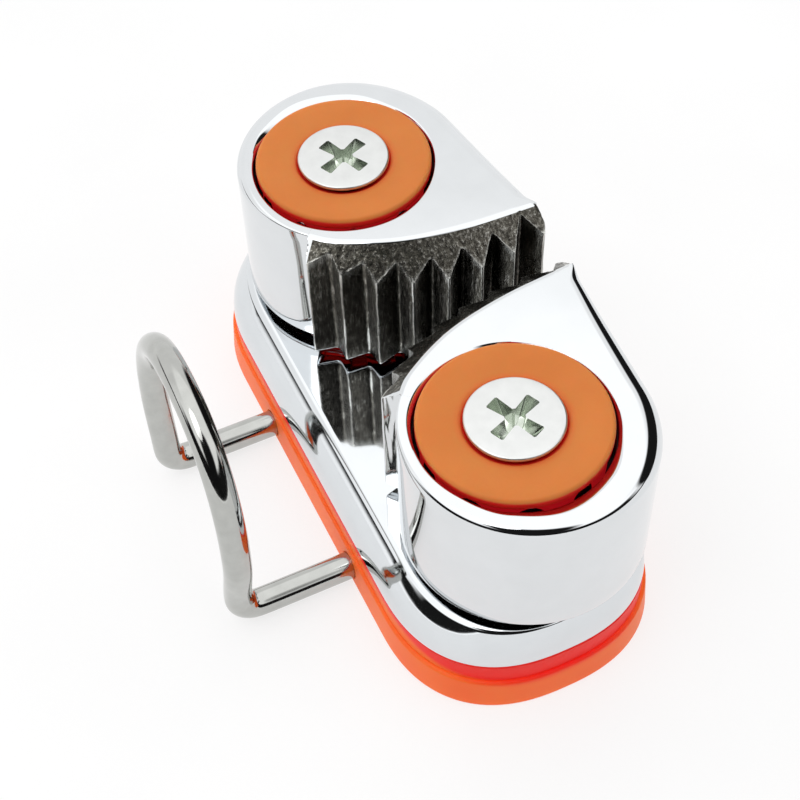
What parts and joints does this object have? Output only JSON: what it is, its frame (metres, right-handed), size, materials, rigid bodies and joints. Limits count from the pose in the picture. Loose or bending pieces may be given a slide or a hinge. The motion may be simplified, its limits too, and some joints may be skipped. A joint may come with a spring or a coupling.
{
  "type": "cam cleat",
  "caption": "Low cleat with a pair of spring-closed toothed cams on ball bearings over an oval base, a wire fairlead in front and two fixing screws.",
  "frame": {"origin": "centre of the mounting face, halfway between the two fixing screws", "axes": "+Z out of the mounting face through the cams, +X from the fairlead towards the rope's tail, +Y towards the back cam along the long axis of the base"},
  "size_m": [0.0429, 0.0642, 0.0291],
  "materials": {
    "plate_plastic": "smooth moulded, light sheen",
    "polished_metal": "mirror polished",
    "cam_metal": "mirror polished outside, as-cast toothed side",
    "fairlead_wire": "polished round wire",
    "post_steel": "turned",
    "bearing_plastic": "moulded",
    "washer_plastic": "moulded",
    "ball_steel": "ground and polished",
    "spring_steel": "drawn wire",
    "cap_plastic": "smooth moulded, light sheen",
    "screw_steel": "satin"
  },
  "bodies": {
    "base": {"mounting_plate": "plate_plastic", "chassis": "plate_plastic", "base_cover": "polished_metal", "wire_fairlead": "fairlead_wire", "post_front": "post_steel", "post_back": "post_steel", "thrust_ring_front": "washer_plastic", "thrust_ring_back": "washer_plastic", "spring_front": "spring_steel", "spring_back": "spring_steel", "cap_front": "cap_plastic", "cap_back": "cap_plastic", "screw_front": "screw_steel", "screw_back": "screw_steel"},
    "front_cam": {"cam_front": "cam_metal"},
    "back_cam": {"cam_back": "cam_metal"},
    "front_bearing": {"cage_upper_front": "bearing_plastic", "cage_lower_front": "bearing_plastic", "ball_upper_1_front": "ball_steel", "ball_upper_2_front": "ball_steel", "ball_upper_3_front": "ball_steel", "ball_upper_4_front": "ball_steel", "ball_upper_5_front": "ball_steel", "ball_upper_6_front": "ball_steel", "ball_upper_7_front": "ball_steel", "ball_upper_8_front": "ball_steel", "ball_upper_9_front": "ball_steel", "ball_upper_10_front": "ball_steel", "ball_lower_1_front": "ball_steel", "ball_lower_2_front": "ball_steel", "ball_lower_3_front": "ball_steel", "ball_lower_4_front": "ball_steel", "ball_lower_5_front": "ball_steel", "ball_lower_6_front": "ball_steel", "ball_lower_7_front": "ball_steel", "ball_lower_8_front": "ball_steel", "ball_lower_9_front": "ball_steel", "ball_lower_10_front": "ball_steel"},
    "back_bearing": {"cage_upper_back": "bearing_plastic", "cage_lower_back": "bearing_plastic", "ball_upper_1_back": "ball_steel", "ball_upper_2_back": "ball_steel", "ball_upper_3_back": "ball_steel", "ball_upper_4_back": "ball_steel", "ball_upper_5_back": "ball_steel", "ball_upper_6_back": "ball_steel", "ball_upper_7_back": "ball_steel", "ball_upper_8_back": "ball_steel", "ball_upper_9_back": "ball_steel", "ball_upper_10_back": "ball_steel", "ball_lower_1_back": "ball_steel", "ball_lower_2_back": "ball_steel", "ball_lower_3_back": "ball_steel", "ball_lower_4_back": "ball_steel", "ball_lower_5_back": "ball_steel", "ball_lower_6_back": "ball_steel", "ball_lower_7_back": "ball_steel", "ball_lower_8_back": "ball_steel", "ball_lower_9_back": "ball_steel", "ball_lower_10_back": "ball_steel"}
  },
  "joints": [
    {"name": "front_cam_pivot", "type": "hinge", "parent": "base", "child": "front_cam", "pos_m": [0, -0.019, 0], "axis": [0, 0, 1], "range_deg": [-45, 0], "stiffness_Nm_per_rad": 0.02, "springref_deg": 28.65, "deforming": ["spring_front"]},
    {"name": "back_cam_pivot", "type": "hinge", "parent": "base", "child": "back_cam", "pos_m": [0, 0.019, 0], "axis": [0, 0, 1], "range_deg": [0, 42], "stiffness_Nm_per_rad": 0.02, "springref_deg": -28.65, "deforming": ["spring_back"]},
    {"name": "front_bearing_turn", "type": "hinge", "parent": "base", "child": "front_bearing", "pos_m": [0, -0.019, 0], "axis": [0, 0, 1], "range_deg": [-28, 0]},
    {"name": "back_bearing_turn", "type": "hinge", "parent": "base", "child": "back_bearing", "pos_m": [0, 0.019, 0], "axis": [0, 0, 1], "range_deg": [0, 26]}
  ],
  "couplings": [
    {"joint": "front_bearing_turn", "follows": "front_cam_pivot", "ratio": 0.615},
    {"joint": "back_bearing_turn", "follows": "back_cam_pivot", "ratio": 0.615}
  ]
}
